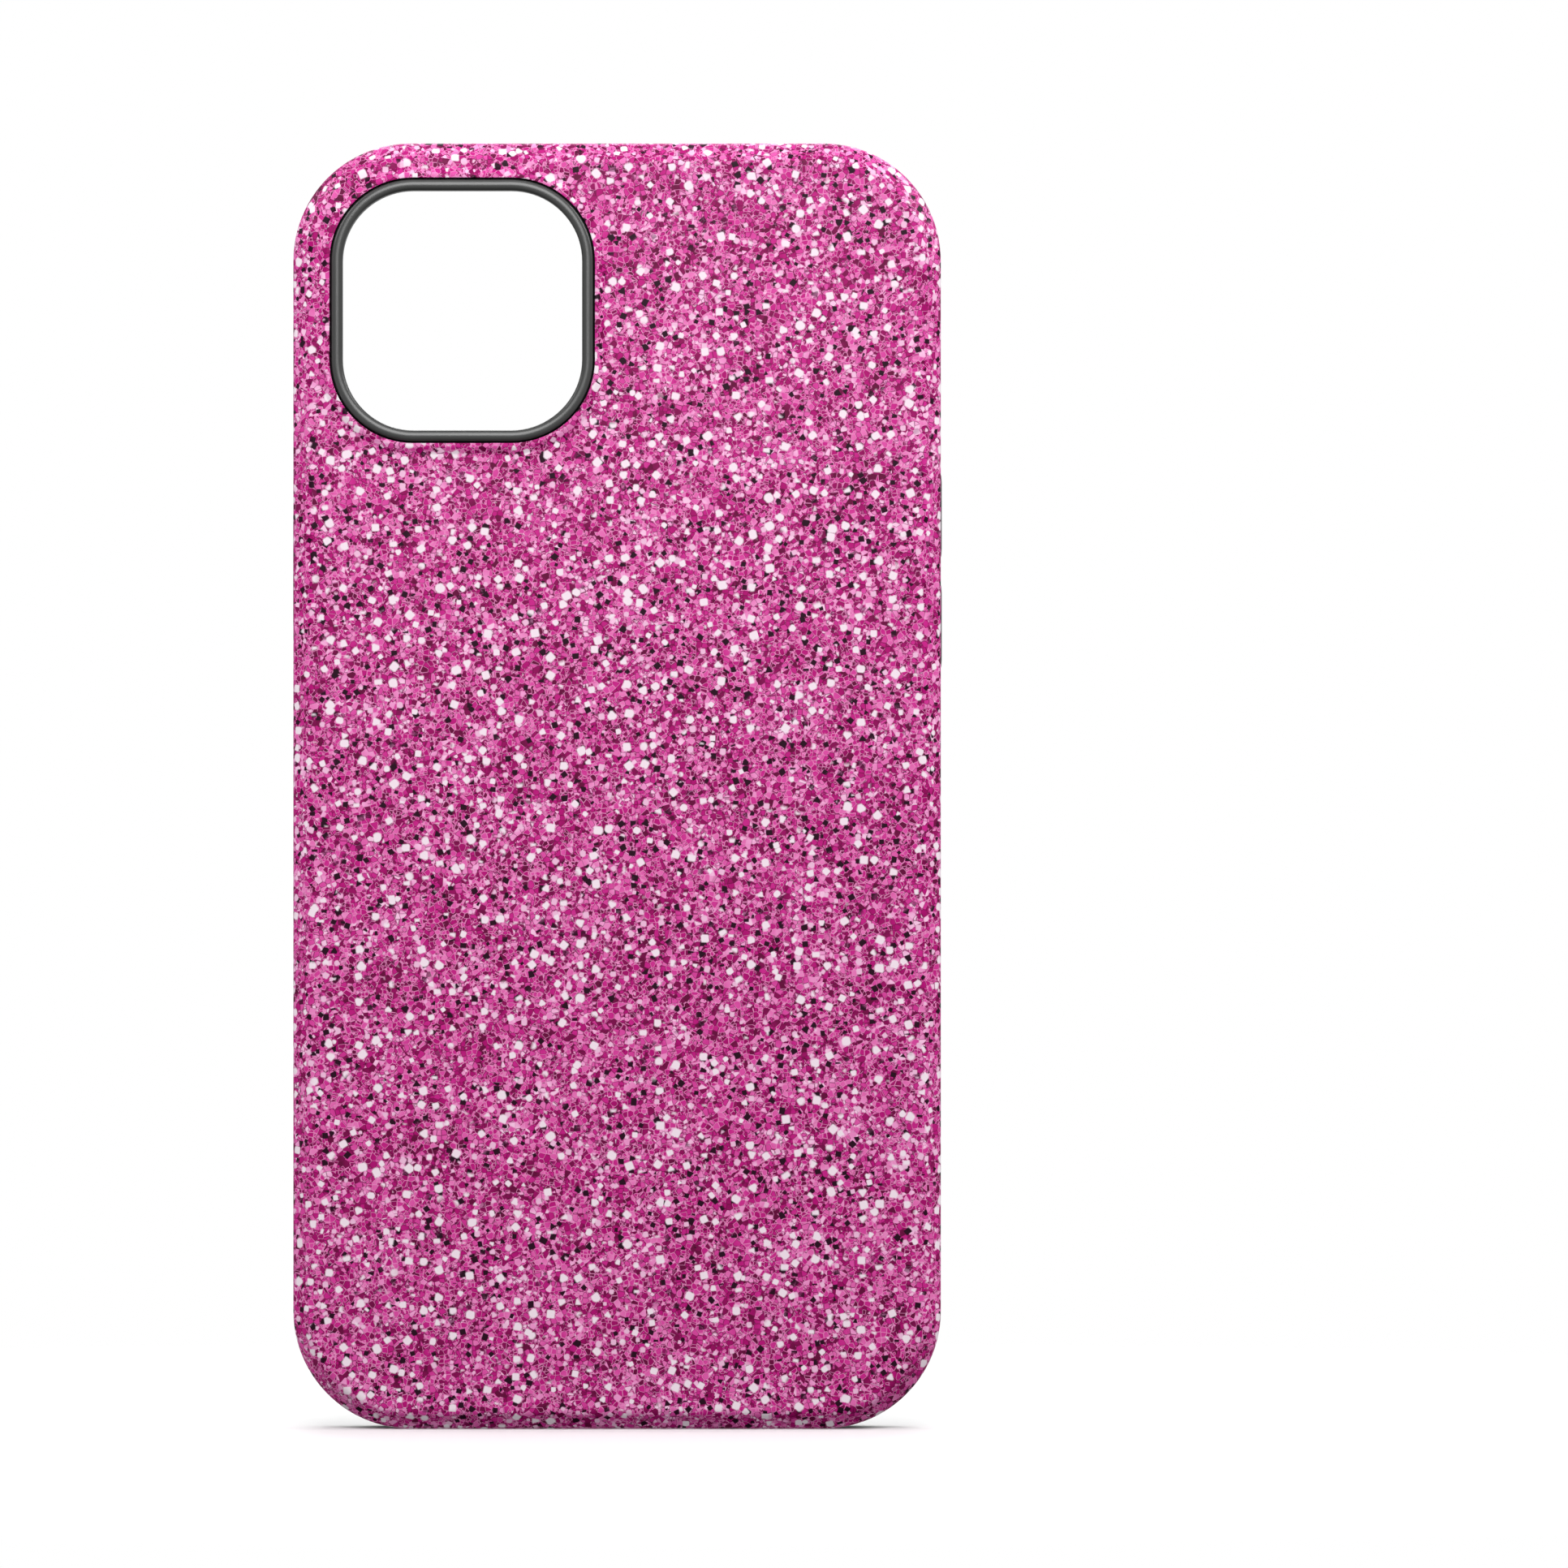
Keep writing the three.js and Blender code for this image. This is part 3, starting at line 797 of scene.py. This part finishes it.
def printed_glitter():
    """Magenta glitter print: angular flakes of two sizes, pale and white sparkles, specks in streaks."""
    made, tree, shader = new_material("glitter print", Roughness=0.42, Specular_IOR_Level=0.13)
    position = millimetres(tree)
    fine, _, fine_kind, fine_edge = flake_layer(tree, position, *FINE_FLAKES)
    broad, chosen, broad_kind, broad_edge = flake_layer(tree, position, *BROAD_FLAKES)
    on_top = calculate(tree, "GREATER_THAN", chosen, 0.5)
    tone, kind, edge = (
        add(tree, "Mix", {0: on_top, 2: under, 3: over}).outputs[0]
        for under, over in ((fine, broad), (fine_kind, broad_kind), (fine_edge, broad_edge))
    )
    clouds = add(tree, "TexNoise", {"Vector": position, "Scale": 0.16, "Detail": 3, "Roughness": 0.6})
    shifted = calculate(tree, "MULTIPLY_ADD", clouds.outputs["Fac"], 0.9, -0.47)
    tone = calculate(tree, "ADD", tone, shifted, clamp=True)
    colour = ramp_colour(tree, tone, FLAKE_TONES)
    is_light = calculate(tree, "GREATER_THAN", kind, 0.5)
    outline = blend(tree, is_light, linear(*DARK_OUTLINE), linear(*LIGHT_OUTLINE))
    near_edge = calculate(tree, "MULTIPLY", fade(tree, edge, *OUTLINE_FADE), 0.8)
    colour = blend(tree, near_edge, colour, outline)
    diagonal = add(tree, "Mapping", {"Vector": position, "Rotation": (0, -0.6, 0), "Scale": (14, 4, 4)},
                   vector_type="TEXTURE").outputs[0]
    streaks = add(tree, "TexNoise", {"Vector": diagonal, "Scale": 1, "Detail": 2}).outputs["Fac"]
    scattered = grains(tree, position, *SPECK_GRAINS)
    specks = calculate(tree, "MULTIPLY", scattered, fade(tree, streaks, *STREAK_FADE))
    colour = blend(tree, specks, colour, linear(*SPECK))
    for *shape, paint in GRAINS:
        colour = blend(tree, grains(tree, position, *shape), colour, linear(*paint))
    put(tree, shader.inputs["Base Color"], colour)
    return made


def soft_rubber(name, tone, roughness, gloss):
    made, tree, shader = new_material(
        name, Base_Color=linear(*tone), Roughness=roughness, Specular_IOR_Level=gloss,
    )
    grain_bump(tree, shader, 7, 0.004)
    return made


def raw_plastic():
    made, tree, shader = new_material("bare shell plastic", Base_Color=linear(30, 28, 30), Roughness=0.5)
    grain_bump(tree, shader, 5, 0.003)
    return made


def plated_metal():
    made, tree, shader = new_material("nickel plating", Base_Color=linear(186, 182, 174), Metallic=1)
    noise = add(tree, "TexNoise", {"Vector": millimetres(tree), "Scale": 3, "Detail": 4})
    spread = add(tree, "MapRange", {"Value": noise.outputs["Fac"], "To Min": 0.22, "To Max": 0.42})
    put(tree, shader.inputs["Roughness"], spread.outputs[0])
    return made


def white_film():
    made, tree, shader = new_material("white film", Base_Color=linear(226, 226, 222), Roughness=0.4)
    grain_bump(tree, shader, 4, 0.003)
    return made


# ---------------------------------------------------------------- stage

FLOOR_RADIUS = 0.27
FLOOR_FADE = (0.05, 0.25)
BACKDROP = (1, 1, 1, 1)
# grey of the sky by height, from 0 straight down to 1 straight up
SKY_GREYS = ((0.0, 60), (0.1, 120), (0.3, 200), (0.5, 178), (1.0, 200))
# name, place in metres, width in metres, and watts
LIGHTS = (
    ("softbox above", (0, 0, 0.9), 1.0, 1.0),
    ("softbox at the back", (0.0, -0.3, 0.26), 0.25, 0.78),
    ("softbox at the volume side", (0.45, 0, 0.4), 0.35, 1.3),
    ("softbox at the power side", (-0.45, 0, 0.4), 0.35, 0.8),
    ("softbox at the screen side", (0, 0.7, 0.75), 0.7, 4.5),
)


def floor_material():
    """Pale floor that fades into the white backdrop away from the case."""
    made, tree, shader = new_material("pale floor", Base_Color=(0.85, 0.85, 0.85, 1), Roughness=0.8,
                                      Specular_IOR_Level=0.1)
    position = add(tree, "TexCoord").outputs["Object"]
    distance = add(tree, "VectorMath", {0: position}, operation="LENGTH").outputs["Value"]
    put(tree, shader.inputs["Alpha"], fade(tree, distance, *FLOOR_FADE))
    return made


def add_floor():
    """Floor that the camera sees with the case's shadow on it, and that throws no light on the case."""
    bm = bmesh.new()
    bmesh.ops.create_circle(bm, cap_ends=True, segments=96, radius=FLOOR_RADIUS)
    floor = new_object("floor", bm)
    floor.data.materials.append(floor_material())
    floor.visible_diffuse = floor.visible_glossy = False


def set_world():
    """White backdrop for the camera, and for everything else a soft grey sky, dark straight below."""
    world = bpy.data.worlds.new("studio")
    bpy.context.scene.world = world
    world.use_nodes = True
    tree = world.node_tree
    height = add(tree, "SeparateXYZ", {0: add(tree, "TexCoord").outputs["Generated"]}).outputs[2]
    stops = [(place, (grey, grey, grey)) for place, grey in SKY_GREYS]
    sky = ramp_colour(tree, calculate(tree, "MULTIPLY_ADD", height, 0.5, 0.5), stops)
    seen = add(tree, "LightPath").outputs["Is Camera Ray"]
    put(tree, tree.nodes["Background"].inputs["Color"], blend(tree, seen, sky, BACKDROP))


def area_light(name, location, size, power):
    lamp = bpy.data.lights.new(name, "AREA")
    lamp.shape = "DISK"
    lamp.size, lamp.energy = size, power
    light = bpy.data.objects.new(name, lamp)
    bpy.context.scene.collection.objects.link(light)
    light.location = location
    aim = Vector((0, 0, HALF_HEIGHT * MM)) - light.location
    light.rotation_euler = aim.to_track_quat("-Z", "Y").to_euler()
    light.visible_camera = False


def add_camera():
    """Long lens square on to the printed back, framed as in the photograph."""
    focal, sensor = 300.0, 36.0
    frame_width, right_of_case, eye_height = 185.22, 19.75, 76.26
    camera = bpy.data.objects.new("camera", bpy.data.cameras.new("camera"))
    camera.data.lens, camera.data.sensor_width = focal, sensor
    camera.location = Vector((right_of_case, BACK_Y - frame_width * focal / sensor, eye_height)) * MM
    camera.rotation_euler = (math.pi / 2, 0, 0)
    bpy.context.scene.collection.objects.link(camera)
    bpy.context.scene.camera = camera


# ---------------------------------------------------------------- assembly


def place_piece(piece, node, body, material=None):
    if material:
        piece.data.materials.append(material)
    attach(piece, body)
    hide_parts(node)


def paint_nodes(prefixes, material):
    for name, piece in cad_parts.items():
        if name.startswith(prefixes):
            piece.data.materials.clear()
            piece.data.materials.append(material)


place_piece(outer_shell(), "outer_shell", "case")
place_piece(inner_liner(), "inner_liner", "case")
cap_rubber = soft_rubber("button caps", (60, 60, 61), 0.42, 0.8)
for button, body in zip(BUTTONS, ("volume_up", "volume_down", "side_key")):
    place_piece(button_cap(*button), button[0], body, cap_rubber)
paint_nodes(("ring_magnet_", "alignment_magnet"), plated_metal())
paint_nodes(("magnet_carrier_ring", "alignment_carrier"), white_film())

add_floor()
set_world()
for light in LIGHTS:
    area_light(*light)
add_camera()
bpy.context.scene.view_settings.view_transform = "Standard"
